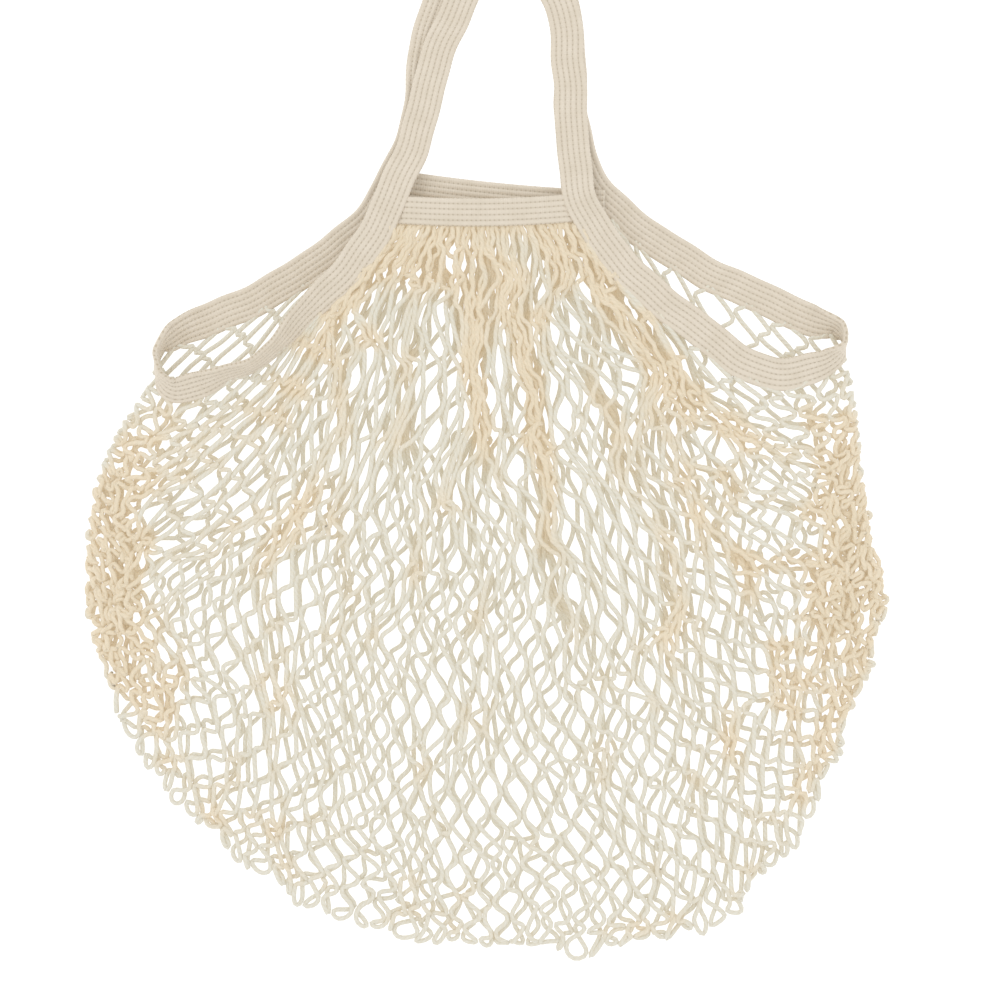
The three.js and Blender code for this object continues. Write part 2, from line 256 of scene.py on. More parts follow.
# Rib-knitted webbing of unbleached cotton: matt and slightly warm, with painted shade in the grooves
# between the ribs, deepest in the ladder holes, and a fine knit that catches the light across each rib.
webbing_cotton = bpy.data.materials.new("rib_knit_cotton_webbing")
webbing_cotton.use_nodes = True
tree = webbing_cotton.node_tree
shader = tree.nodes["Principled BSDF"]
cloth_map = add_node(tree, "ShaderNodeUVMap", {"uv_map": "webbing"}).outputs["UV"]
axes = add_node(tree, "ShaderNodeSeparateXYZ", links={"Vector": cloth_map})
rib_phase = add_node(
    tree, "ShaderNodeMath", {"operation": "MULTIPLY", 1: math.pi * STRAP_RIBS / STRAP_WIDTH},
    {0: axes.outputs["Y"]},
)
rib_wave = add_node(tree, "ShaderNodeMath", {"operation": "SINE"}, {0: rib_phase.outputs[0]})
rib_height = add_node(tree, "ShaderNodeMath", {"operation": "ABSOLUTE"}, {0: rib_wave.outputs[0]})
groove_mask = add_node(
    tree, "ShaderNodeMapRange", {"From Min": 0.55, "From Max": 0.05, "To Min": 0.0, "To Max": 1.0},
    {"Value": rib_height.outputs[0]},
)
hole_phase = add_node(
    tree, "ShaderNodeMath", {"operation": "MULTIPLY", 1: 2 * math.pi / LADDER_PITCH},
    {0: axes.outputs["X"]},
)
hole_wave = add_node(tree, "ShaderNodeMath", {"operation": "COSINE"}, {0: hole_phase.outputs[0]})
hole_mask = add_node(
    tree, "ShaderNodeMapRange", {"From Min": 0.0, "From Max": 0.8, "To Min": 0.25, "To Max": 1.0},
    {"Value": hole_wave.outputs[0]},
)
# Where the painted shade falls: along the grooves between the ribs, and most in the ladder holes
ladder = add_node(
    tree, "ShaderNodeMath", {"operation": "MULTIPLY"},
    {0: groove_mask.outputs[0], 1: hole_mask.outputs[0]},
)
# Cloudy unevenness of the yarn, a few millimetres across
YARN_CLOUD = 6.25
cloud = add_node(
    tree, "ShaderNodeTexNoise", {"Scale": 1 / (YARN_CLOUD * MM), "Detail": 3.0},
    {"Vector": add_node(tree, "ShaderNodeTexCoord").outputs["Object"]},
)
yarn = add_node(
    tree, "ShaderNodeMix", {"data_type": "RGBA", 6: linear("#d0c3ad"), 7: linear("#e2d6c4")},
    {0: cloud.outputs["Fac"]},
)
# Painted shade: a darker tan laid over the yarn tone in the grooves and ladder holes
yarn_with_painted_shade = add_node(
    tree, "ShaderNodeMix", {"data_type": "RGBA", 7: linear("#b7a78d")},
    {0: ladder.outputs[0], 6: yarn.outputs[2]},
)
tree.links.new(yarn_with_painted_shade.outputs[2], shader.inputs["Base Color"])
# Fine knit courses across the ribs, half a ladder pitch apart, and loose fibres on them
FIBRE_TUFT = 0.625
knit_phase = add_node(
    tree, "ShaderNodeMath", {"operation": "MULTIPLY", 1: 4 * math.pi / LADDER_PITCH},
    {0: axes.outputs["X"]},
)
knit_wave = add_node(tree, "ShaderNodeMath", {"operation": "SINE"}, {0: knit_phase.outputs[0]})
knit_bump = add_node(
    tree, "ShaderNodeBump", {"Strength": 0.35, "Distance": 0.12 * MM}, {"Height": knit_wave.outputs[0]}
)
fibre = add_node(
    tree, "ShaderNodeTexNoise", {"Scale": 1 / (FIBRE_TUFT * MM), "Detail": 2.0},
    {"Vector": add_node(tree, "ShaderNodeTexCoord").outputs["Object"]},
)
fibre_bump = add_node(
    tree, "ShaderNodeBump", {"Strength": 0.5, "Distance": 0.15 * MM},
    {"Height": fibre.outputs["Fac"], "Normal": knit_bump.outputs["Normal"]},
)
tree.links.new(fibre_bump.outputs["Normal"], shader.inputs["Normal"])
shader.inputs["Roughness"].default_value = 0.95
shader.inputs["Sheen Weight"].default_value = 0.25
shader.inputs["Sheen Roughness"].default_value = 0.6
shader.inputs["Specular IOR Level"].default_value = 0.25

strap_length = even_places(0, len(STRAP_ROUTE), 2)[1]
strap_rings = 2 * round(strap_length / LADDER_PITCH)
strap_places, strap_length = even_places(0, len(STRAP_ROUTE), strap_rings + 1)
strap_middle, strap_wide, strap_outward = strap_frame(strap_places[:-1])
# The limp webbing wavers a little from side to side: waves round the loop, size and start of each
for waves, size, start in ((19, 0.25, 0.4), (33, 0.22, 2.1), (52, 0.14, 4.0)):
    turn = 2 * np.pi * waves * np.arange(strap_rings) / strap_rings
    strap_middle += strap_wide * (size * np.sin(turn + start))[:, None]
strap = webbing_piece(
    "strap_webbing", strap_middle, strap_wide, strap_outward, strap_length,
    STRAP_WIDTH, STRAP_THICKNESS, STRAP_RIBS, closed=True,
)
strap.data.materials.append(webbing_cotton)
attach(strap, "root")
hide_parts("strap_loop")

# Bands
# Two short strips of the same webbing, laid over the gathered ends of the net at the foot of
# each handle. Their ends pass under the strap and are sewn down.
BAND_HEIGHT = 10.4
BAND_THICKNESS = 1.8
BAND_RIBS = 5
BAND_TUCK = 2.0
BAND_DIP_LENGTH = 9.0
bands = {
    "front_band": {"ends": ((-37.5, 87.6), (38.0, 88.4)), "sag": 1.8, "height": 8.4, "dip": 2.2},
    "back_band": {"ends": ((-36.0, 98.0), (44.5, 90.0)), "sag": 1.2, "height": 0.95, "dip": -1.6},
}
for node, band in bands.items():
    (left_x, left_y), (right_x, right_y) = band["ends"]
    band_length = math.hypot(right_x - left_x, right_y - left_y)
    rings = 2 * round(band_length / LADDER_PITCH) + 1
    share = np.linspace(0, 1, rings)
    from_end = np.minimum(share, 1 - share) * band_length
    dip = 1 - np.clip((from_end - BAND_TUCK) / BAND_DIP_LENGTH, 0, 1)
    middle = np.column_stack([
        left_x + (right_x - left_x) * share,
        left_y + (right_y - left_y) * share - band["sag"] * 4 * share * (1 - share),
        band["height"] - band["dip"] * dip * dip * (3 - 2 * dip),
    ])
    along = unit(np.gradient(middle, axis=0))
    outward = np.tile([0.0, 0.0, 1.0], (rings, 1))
    wide = unit(np.cross(outward, along))
    outward = np.cross(along, wide)
    strip = webbing_piece(
        node + "_webbing", middle, wide, outward, band_length,
        BAND_HEIGHT, BAND_THICKNESS, BAND_RIBS, closed=False,
    )
    band["middle"] = middle
    strip.data.materials.append(webbing_cotton)
    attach(strip, "root")
    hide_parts(node)

# Net
# One sheet of twisted cotton cord in diamond meshes, folded at the bottom and gathered along both
# upper edges into the bands and the strap. Neighbouring cords run side by side for a few
# millimetres at each joint. Sizes here are in millimetres.
COLUMNS = 38
FRONT_ROWS = 32
BACK_ROWS = 30
CORD_DIAMETER = 1.8
HIDDEN_IN_SEAM = 2.0
SEAM_POINTS = 200
draw = np.random.default_rng(20261127)

# Side and bottom fold, from below the left end of the mouth round to below the right end
FOLD_OUTLINE = np.array([
    (-130.5, 15.0), (-141.0, 1.0), (-147.6, -20.5), (-149.0, -42.8), (-145.2, -68.9),
    (-136.6, -103.5), (-114.4, -133.0), (-85.2, -159.6), (-49.0, -178.4), (-9.8, -186.6), (27.8, -188.4),
    (57.4, -188.2), (87.0, -177.0), (108.6, -156.0), (125.8, -127.4), (138.6, -94.8), (149.0, -69.0),
    (145.0, -46.6), (141.6, -16.8), (139.0, 6.0), (137.4, 22.0),
])


def evenly(points):
    # A curve through the points, read by the share of its length.
    points = np.asarray(points, float)
    run = running_length(points)
    run = run / run[-1]
    return lambda share: np.stack([np.interp(share, run, points[:, k]) for k in range(3)], axis=-1)


def rounded(points, passes=3):
    # Corners of an outline cut off again and again until it runs smoothly.
    for _ in range(passes):
        inner = np.empty((2 * len(points) - 2, points.shape[1]))
        inner[0::2] = 0.75 * points[:-1] + 0.25 * points[1:]
        inner[1::2] = 0.25 * points[:-1] + 0.75 * points[1:]
        points = np.vstack([points[:1], inner, points[-1:]])
    return points


def sewn_edge(first, last):
    # Line inside the strap's sewn edge, where the net is caught.
    places = even_places(first, last, SEAM_POINTS)[0]
    middle, wide, _ = strap_frame(places)
    return middle - wide * (STRAP_WIDTH / 2 - HIDDEN_IN_SEAM)


# The upper edge of each face is caught in the strap from one end of the mouth to the other, by way
# of the band. Its side edges hang from the ends of the mouth and meet the other face there, and the
# fold goes on from them round the bottom. Tips and band ends are places on the strap's route.
LEFT_TIP, RIGHT_TIP = 9.6, 31.0
BAND_ENDS = {"front": (0.55, 37.75), "back": (14.55, 25.75)}
BAND_SHARE = (0.16, 0.84)
FREE_SIDE = 92.0
FOLD_HEIGHT = {"front": 2.6, "back": 0.8}
TIP_FALL = 12.0
sewn = {
    side: (sewn_edge(LEFT_TIP, left_end), sewn_edge(right_end, RIGHT_TIP))
    for side, (left_end, right_end) in BAND_ENDS.items()
}
tips = sewn["front"][0][0], sewn["front"][1][-1]
outline = rounded(np.vstack([tips[0][:2], FOLD_OUTLINE, tips[1][:2]]))
outline_run = running_length(outline)
from_tip = np.minimum(outline_run, outline_run[-1] - outline_run)
tip_height = np.where(outline_run < outline_run[-1] / 2, tips[0][2], tips[1][2])

# Seams at the band, the spread of the rows from hem to fold, and the sag of the two faces. The back
# face is slid sideways by about half a mesh and puffed up to the front one behind the band.
HIDDEN_IN_BAND = 2.0
UNDER_BAND = 1.2
ROW_OPENING = 0.3
SIDE_GATHER = 0.75
END_REACH = 0.15
EDGE_FADE = 2.5
EVENING_PASSES = 8
BACK_SLIDE = 1.2
SLIDE_END = 6.0
SLACK = {"front": 2.4, "back": 0.6}
BAND_PUFF = {"front": 0.0, "back": 6.0}
PUFF_WIDTH = 0.22
PUFF_RISE = 40.0
PUFF_FALL = 4.0


def mouth_line(side, share):
    # Upper edge of a face, from 0 at the left end of the mouth to 1 at its right end.
    left, right = sewn[side]
    start, end = BAND_SHARE
    on_band = np.clip((share - start) / (end - start), 0, 1)
    hem = evenly(np.stack([left[-1], right[0]]))(on_band)
    hem[..., 1] += HIDDEN_IN_BAND - bands[side + "_band"]["sag"] * 4 * on_band * (1 - on_band)
    hem[..., 2] -= UNDER_BAND
    hem = np.where((share < start)[..., None], evenly(left)(share / start), hem)
    return np.where((share > end)[..., None], evenly(right)((share - end) / (1 - end)), hem)


def net_face(side, row_count):
    # Where the joints of one face lie before they settle: a sheet stretched between the mouth, the
    # two side edges and the fold. Its meshes are long under the band and squarer at the fold.
    column = np.linspace(0, 1, 2 * COLUMNS + 1)[None, :]
    row = np.linspace(0, 1, row_count + 1)[:, None]
    fall = FOLD_HEIGHT[side] + (tip_height - FOLD_HEIGHT[side]) * np.exp(-(from_tip / TIP_FALL) ** 2)
    rim = np.column_stack([outline, fall])
    left_end, right_end = np.searchsorted(outline_run, (FREE_SIDE, outline_run[-1] - FREE_SIDE))
    left, low, right = rim[:left_end + 1], rim[left_end:right_end + 1], rim[right_end:][::-1]
    near_end = np.exp(-(column / END_REACH) ** 2) + np.exp(-((1 - column) / END_REACH) ** 2)
    opening = row * (1 + ROW_OPENING - ROW_OPENING * row)
    gathered = row ** SIDE_GATHER
    down = opening + near_end * (gathered - opening)
    across = column + 0 * row
    if side == "back":
        slid = np.minimum(SLIDE_END * (1 - row), 1) * row * 4 * column * (1 - column)
        across += slid * BACK_SLIDE / (2 * COLUMNS)
    points = (1 - down[..., None]) * mouth_line(side, across) + down[..., None] * evenly(low)(across)
    for edge, nearness in ((left, 1 - across), (right, across)):
        bulge = evenly(edge)(gathered) - evenly(edge[[0, -1]])(gathered)
        points += nearness[..., None] ** EDGE_FADE * bulge
    for _ in range(EVENING_PASSES):
        around = (points[:-2, 1:-1] + points[2:, 1:-1] + points[1:-1, :-2] + points[1:-1, 2:]) / 4
        points[1:-1, 1:-1] += (around - points[1:-1, 1:-1]) / 2
    points[..., 2] += SLACK[side] * np.sin(np.pi * down) * np.sqrt(4 * column * (1 - column))
    behind_band = np.exp(-((column - 0.5) / PUFF_WIDTH) ** 2)
    puff = behind_band * (1 - np.exp(-PUFF_RISE * down)) * np.exp(-PUFF_FALL * down)
    points[..., 2] += BAND_PUFF[side] * puff
    return points


# Rope-like folds that draw the cords of both faces together: points of each, reach and strength
FOLDS = [
    (((7.4, 69.0), (12.9, 43.0), (22.2, -2.0), (31.5, -58.0)), 13.0, 0.88),
    (((-10.6, 68.0), (-9.5, 54.0), (-3.9, 20.0), (1.7, -10.0)), 12.0, 0.88),
    (((32.0, 71.0), (38.9, 58.0), (72.5, 24.0), (106.0, -2.0)), 11.0, 0.8),
    (((-22.2, 68.0), (-26.3, 43.0), (-33.7, 5.0)), 10.0, 0.75),
    (((-128.0, 8.0), (-136.0, -22.0), (-136.0, -55.0), (-124.0, -85.0)), 24.0, 0.9),
    (((131.0, 8.0), (132.0, -25.0), (130.0, -60.0)), 16.0, 0.8),
]
# Locks in which the cords leave the band: each spreads outwards as it falls, first to its bend and
# then to its end
LOCKS = 9
LOCK_PLACE = (0.2, 0.8)
LOCK_SPAN = 31.0
LOCK_TOP = 70.0
BEND_SPREAD, BEND_FALL = (1.2, 1.45), (14, 24)
END_SPREAD, END_FALL, END_STRAY = (1.5, 2.3), (42, 72), 4.0
LOCK_REACH, LOCK_STRENGTH = (5, 7), 0.28
for place in (np.arange(LOCKS) + draw.uniform(*LOCK_PLACE, LOCKS)) / LOCKS:
    top = -LOCK_SPAN + 2 * LOCK_SPAN * place
    bend = (top * draw.uniform(*BEND_SPREAD), LOCK_TOP - draw.uniform(*BEND_FALL))
    end_x = top * draw.uniform(*END_SPREAD) + draw.normal(0, END_STRAY)
    lock = ((top, LOCK_TOP), bend, (end_x, LOCK_TOP - draw.uniform(*END_FALL)))
    FOLDS.append((lock, draw.uniform(*LOCK_REACH), LOCK_STRENGTH))
ROPE_POINTS = 60
ROPE_HEIGHT = 3.0
ROPE_ENDS = (0.08, 0.92)
ROPE_FADE = 0.7
# Ripples, as size and length of wave, and the rows and columns over which all of this fades out at
# the seams
RIPPLES = ((3.6, 85.0), (2.4, 40.0), (1.8, 20.0))
WAVES_OF_EACH = 6
WAVE_SPREAD = (0.7, 1.4)
HEM_FADE = 2.5
SIDE_FADE = 6
FOLD_FADE = np.linspace(0.9, 0.1, 4)


def rumple(points):
    # Slow ripples that shift the joints about, then the rope-like folds.
    below, beside = np.indices(points.shape[:2])
    inside = np.minimum(below / HEM_FADE, 1)
    inside = inside * np.minimum(np.minimum(beside, points.shape[1] - 1 - beside) / SIDE_FADE, 1)
    inside[-len(FOLD_FADE):] *= FOLD_FADE[:, None]
    start = points.copy()
    packed = np.zeros(points.shape[:2])
    for size, reach in RIPPLES:
        for _ in range(WAVES_OF_EACH):
            heading, lean, phase = draw.uniform(0, 2 * np.pi, 3)
            pitch = reach * draw.uniform(*WAVE_SPREAD)
            wave = start[..., 0] * np.cos(heading) + start[..., 1] * np.sin(heading)
            shift = size / np.sqrt(WAVES_OF_EACH / 2) * inside * np.sin(2 * np.pi * wave / pitch + phase)
            points[..., 0] += shift * np.cos(lean)
            points[..., 1] += shift * np.sin(lean)
    for line, reach, strength in FOLDS:
        rope = evenly([(x, y, 0.0) for x, y in line])(np.linspace(0, 1, ROPE_POINTS))[:, :2]
        distance = np.linalg.norm(points[..., None, :2] - rope, axis=-1)
        nearest = distance.argmin(axis=-1)
        fade = np.sin(np.pi * np.clip(nearest / (ROPE_POINTS - 1), *ROPE_ENDS)) ** ROPE_FADE
        pull = strength * fade * inside * np.exp(-(distance.min(axis=-1) / reach) ** 2)
        points[..., :2] += pull[..., None] * (rope[nearest] - points[..., :2])
        points[..., 2] += ROPE_HEIGHT * pull * draw.random(pull.shape)
        packed = np.maximum(packed, pull)
    return points, packed


# The whole sheet, from the front hem round the fold to the back hem. Its joints stray a little, and
# least of all near the hems.
JOINT_STRAY = (1.8, 1.8, 0.3)
STRAY_ROWS, STRAY_SHARES = (0, 0.3), (0.5, 1)
front_face, front_packed = rumple(net_face("front", FRONT_ROWS))
back_face, back_packed = rumple(net_face("back", BACK_ROWS))
layout = np.concatenate([front_face, back_face[::-1]])
packed = np.concatenate([front_packed, back_packed[::-1]])
last_row, last_column = layout.shape[0] - 1, layout.shape[1] - 1
rows, columns = np.indices(layout.shape[:2])
at_side = (columns == 0) | (columns == last_column)
on_edge = (rows == 0) | (rows == last_row) | at_side
row_share = np.where(rows <= FRONT_ROWS, rows / FRONT_ROWS, (last_row - rows) / BACK_ROWS)
loose = np.where(on_edge, 0.0, np.interp(row_share, STRAY_ROWS, STRAY_SHARES))
layout += loose[..., None] * draw.normal(0, JOINT_STRAY, layout.shape)
layout[..., 2] = np.maximum(layout[..., 2], CORD_DIAMETER / 2)

# The rows at the fold lie more or less far in from its edge, and the next ones half as far, so that
# the edge is uneven
FOLD_INSET = 3.6
ROWS_INWARD = 4
inset = draw.uniform(0, FOLD_INSET, last_column + 1)
inset[[0, -1]] = 0
for fold_row, side_sign, depth in (
    (FRONT_ROWS, -1, inset),
    (FRONT_ROWS - 1, -1, inset / 2),
    (FRONT_ROWS + 1, 1, FOLD_INSET - inset),
    (FRONT_ROWS + 2, 1, (FOLD_INSET - inset) / 2),
):
    inward = layout[fold_row + side_sign * ROWS_INWARD, :, :2] - layout[fold_row, :, :2]
    layout[fold_row, 1:-1, :2] += (unit(inward) * depth[:, None])[1:-1]

# Every joint has an upper and a lower end. A cord goes from the lower end of one joint to the
# upper end of the next, in zigzag between two neighbouring columns, and loops out at the fold.
JOINT_LENGTH = (3.8, 2.2)
SIDE_POINTS = 4
SIDE_STRAY = (0.9, 0.9, 0.4)
LOOP_REACH = 5.0
LOOP_SPREAD = (0.3, 1.4)
TINY = 1e-9
joint_length = np.interp(row_share, (0, 1), JOINT_LENGTH)
down_step = unit(np.gradient(layout, axis=0) + TINY) * (joint_length / 2)[..., None]
upper = np.where(on_edge[..., None], layout, layout - down_step).reshape(-1, 3)
lower = np.where(on_edge[..., None], layout, layout + down_step).reshape(-1, 3)
joint_total = rows.size
cord_count = last_column
cord_number = np.arange(cord_count)[:, None]
row_number = np.arange(last_row + 1)[None, :]
zigzag = cord_number + (cord_number + row_number) % 2
joint_at = row_number * (last_column + 1) + zigzag
side_index = 2 * joint_total + np.arange(cord_count * last_row * SIDE_POINTS).reshape(
    cord_count, last_row, SIDE_POINTS
)
chain = np.concatenate(
    [joint_total + joint_at[:, :-1, None], side_index, joint_at[:, 1:, None]], axis=2
)
start_of, end_of = lower[joint_at[:, :-1], None], upper[joint_at[:, 1:], None]
shares = (np.arange(SIDE_POINTS) + 1)[:, None] / (SIDE_POINTS + 1)
sides = start_of + (end_of - start_of) * shares
sides += draw.normal(0, SIDE_STRAY, start_of.shape) * np.sin(np.pi * shares)
round_fold = unit(lower[joint_at[:, FRONT_ROWS]] - upper[joint_at[:, FRONT_ROWS]] + TINY) * [1, 1, 0]
loop_reach = LOOP_REACH * draw.uniform(*LOOP_SPREAD, cord_count)[:, None, None]
sides[:, FRONT_ROWS] += round_fold[:, None] * loop_reach * np.sin(np.pi * shares)
points = np.concatenate([upper, lower, sides.reshape(-1, 3)])
rest = points.copy()

# How strongly each point is kept at its first place: seams fast, the fold firmly, the rest loosely
SEAM_HOLD, FOLD_HOLD, LOOP_HOLD, ROPE_HOLD, LOOSE_HOLD = 1.0, 0.9, 0.3, 0.35, 0.05
at_fold = (rows == FRONT_ROWS) | (rows == FRONT_ROWS + 1) | (at_side & (row_share > 0))
joint_hold = np.where(on_edge, SEAM_HOLD, LOOSE_HOLD + ROPE_HOLD * packed)
joint_hold = np.where(at_fold, FOLD_HOLD, joint_hold).ravel()
side_hold = np.zeros(side_index.shape)
side_hold[:, FRONT_ROWS] = LOOP_HOLD
hold = np.concatenate([joint_hold, joint_hold, side_hold.ravel()])[:, None]
free = np.where(hold == SEAM_HOLD, 0.0, 1.0)

# Links along the mesh sides and through the joints. The cords are a little uneven in length, and
# slack in the fringe below the bands.
SIDE_LENGTH = 7.0
SIDE_SPREAD = (0.75, 1.27)
FRINGE_SLACK = 0.5
FRINGE_ROWS = 6
SLACK_BELOW_STRAP = 0.2
inner_joints = np.unique(joint_at[~on_edge.ravel()[joint_at]])
link_from = np.concatenate([chain[..., :-1].ravel(), inner_joints])
link_to = np.concatenate([chain[..., 1:].ravel(), joint_total + inner_joints])
from_band = np.minimum(np.arange(last_row), last_row - 1 - np.arange(last_row))
side_lengths = draw.uniform(*SIDE_SPREAD, chain.shape[:2]) * SIDE_LENGTH / (SIDE_POINTS + 1)
cord_share = (cord_number + 0.5) / cord_count
below_band = (cord_share > BAND_SHARE[0]) & (cord_share < BAND_SHARE[1])
in_fringe = np.where(below_band, 1.0, SLACK_BELOW_STRAP)
side_lengths *= 1 + FRINGE_SLACK * in_fringe * np.exp(-(from_band / FRINGE_ROWS) ** 2)
link_length = np.concatenate([
    np.repeat(side_lengths.ravel(), SIDE_POINTS + 1), joint_length.ravel()[inner_joints]
])
link_ends = np.concatenate([link_from, link_to])
link_share = free / np.maximum(np.bincount(link_ends, minlength=len(points)), 1)[:, None]
live = np.unique(link_ends)

TOUCH_REACH = CORD_DIAMETER * 1.1
DRAW_BACK = 0.6


def summed(indices, moves):
    # Total move of each point, from the moves listed for it.
    return np.stack([np.bincount(indices, moves[:, k], minlength=len(points)) for k in range(3)], axis=1)


def touching_pairs():
    # Pairs of cord points that lie about a cord's thickness apart, or nearer.
    near = KDTree(len(live))
    for index in live.tolist():
        near.insert(points[index], index)
    near.balance()
    pairs = [
        (index, other)
        for index in live.tolist()
        for _, other, _ in near.find_range(points[index], TOUCH_REACH)
        if other > index
    ]
    return np.array(pairs, int).reshape(-1, 2)


strap_lookup = KDTree(len(strap_middle))
for ring, place in enumerate(strap_middle):
    strap_lookup.insert(place, ring)
strap_lookup.balance()


def clear_strap():
    # Cords that have slid over or under the strap are drawn back to its sewn edge.
    found = [strap_lookup.find(points[index])[1:] for index in live.tolist()]
    ring = np.array([item[0] for item in found])
    near = np.array([item[1] for item in found]) < STRAP_WIDTH
    index, ring = live[near], ring[near]
    offset = points[index] - strap_middle[ring]
    across = np.sum(offset * strap_wide[ring], axis=1) + STRAP_WIDTH / 2
    out = np.abs(np.sum(offset * strap_outward[ring], axis=1))
    over = (across > 0) & (out < STRAP_THICKNESS + CORD_DIAMETER) & (free[index, 0] > 0)
    points[index[over]] -= strap_wide[ring[over]] * (DRAW_BACK * across[over])[:, None]


# Settling: in each step the cords are drawn towards their folds, brought to their length, bent
# smooth, pushed off each other and kept off the strap and the table
SETTLE_STEPS = 100
LINK_PASSES = 4
TAUT_GIVE, CRUSHED_GIVE = 0.9, 0.6
STIFFNESS = 0.16
PUSH_SHARE, PUSH_LIMIT = 0.25, 0.4
LEAST_LENGTH = 1e-6
FIND_EVERY = 7
CLEAR_EVERY = 3
for step in range(SETTLE_STEPS):
    points += hold * (rest - points)
    for _ in range(LINK_PASSES):
        between = points[link_to] - points[link_from]
        length = np.maximum(np.linalg.norm(between, axis=1), LEAST_LENGTH)
        excess = (length - link_length) / length
        give = np.where(excess > 0, TAUT_GIVE, CRUSHED_GIVE * np.minimum(length, 1))
        move = between * give[:, None] * excess[:, None]
        points += link_share * summed(link_ends, np.concatenate([move, -move]))
    middle = (points[chain[..., :-2]] + points[chain[..., 2:]]) / 2
    points[side_index] += STIFFNESS * (middle - points[side_index])
    if step % FIND_EVERY == 0:
        pairs = touching_pairs()
        pair_ends = np.concatenate([pairs[:, 1], pairs[:, 0]])
    between = points[pairs[:, 1]] - points[pairs[:, 0]]
    length = np.maximum(np.linalg.norm(between, axis=1), LEAST_LENGTH)
    move = between * (PUSH_SHARE * np.maximum(CORD_DIAMETER - length, 0) / length)[:, None]
    push = summed(pair_ends, np.concatenate([move, -move]))
    points += free * np.clip(push, -PUSH_LIMIT, PUSH_LIMIT)
    if step % CLEAR_EVERY == 0 or step == SETTLE_STEPS - 1:
        clear_strap()
    points[:, 2] = np.maximum(points[:, 2], CORD_DIAMETER / 2)

# Each cord's line in full: through every joint a little to its own side, then along the mesh side,
# and eased so that it has no corners
SIDE_BY_SIDE = 0.4
JOINT_EASE, SIDE_EASE = 0.3, 0.5
EASE_PASSES = 3
across_step = np.gradient(points[:joint_total].reshape(layout.shape), axis=1).reshape(-1, 3)
along_joint = points[joint_total:2 * joint_total] - points[:joint_total]
joint_square = np.maximum(np.sum(along_joint ** 2, axis=1), LEAST_LENGTH)
across_step -= along_joint * (np.sum(across_step * along_joint, axis=1) / joint_square)[:, None]
beside = unit(across_step + TINY) * (SIDE_BY_SIDE * CORD_DIAMETER)
own_side = np.where(zigzag == cord_number, 1.0, -1.0)
cord_lines = np.empty((cord_count, last_row + 1, 2 + SIDE_POINTS, 3))
cord_lines[:, :, 0] = points[joint_at] + own_side[..., None] * beside[joint_at]
cord_lines[:, :, 1] = points[joint_total + joint_at] + own_side[..., None] * beside[joint_at]
cord_lines[:, :-1, 2:] = points[side_index]
cord_lines = cord_lines.reshape(cord_count, -1, 3)[:, :-SIDE_POINTS]
ease = np.tile([JOINT_EASE] * 2 + [SIDE_EASE] * SIDE_POINTS, last_row + 1)
ease = ease[1:cord_lines.shape[1] - 1, None]
for _ in range(EASE_PASSES):
    middle = (cord_lines[:, :-2] + cord_lines[:, 2:]) / 2
    cord_lines[:, 1:-1] += ease * (middle - cord_lines[:, 1:-1])
cord_lines[..., 2] = np.maximum(cord_lines[..., 2], CORD_DIAMETER / 2)

# How densely the cords lie round each point as seen from above, from 0 where one runs alone to 1
# in the thick locks
CROWD_REACH = 5.0
HEIGHT_SHARE = 0.2
CROWD_RANGE = (30, 75)
plan_points = cord_lines.reshape(-1, 3) * [1, 1, HEIGHT_SHARE]
crowd = KDTree(len(plan_points))
for index, place in enumerate(plan_points):
    crowd.insert(place, index)
crowd.balance()
near_count = np.array([len(crowd.find_range(place, CROWD_REACH)) for place in plan_points])
alone, thick = np.percentile(near_count, CROWD_RANGE)
cord_crowding = np.clip((near_count - alone) / (thick - alone), 0, 1).reshape(cord_lines.shape[:2])

# Packed cords keep the wave of the knots they were made with
CRIMP_PITCH = (5.5, 8.5)
CRIMP_SIZE = 0.42
along_run = running_length(cord_lines)
crimp_turn = 2 * np.pi * along_run / draw.uniform(*CRIMP_PITCH, (cord_count, 1))
crimp = CRIMP_SIZE * cord_crowding * np.sin(crimp_turn + draw.uniform(0, 2 * np.pi, (cord_count, 1)))
crimp[:, [0, -1]] = 0
cord_heading = np.gradient(cord_lines, axis=1)
sideways = unit(np.stack([-cord_heading[..., 1], cord_heading[..., 0], 0 * along_run], axis=-1) + TINY)
cord_lines += sideways * crimp[..., None]

# No cord end comes up through the front band
band_x, band_y, band_z = bands["front_band"]["middle"].T
cord_x, cord_y, cord_z = np.moveaxis(cord_lines, -1, 0)
in_band = cord_y > np.interp(cord_x, band_x, band_y) - BAND_HEIGHT / 2 - CORD_DIAMETER / 2
under_band = np.minimum(cord_z, np.interp(cord_x, band_x, band_z) - UNDER_BAND)
cord_lines[..., 2] = np.where(in_band, under_band, cord_z)

CORD_SIDES = 7


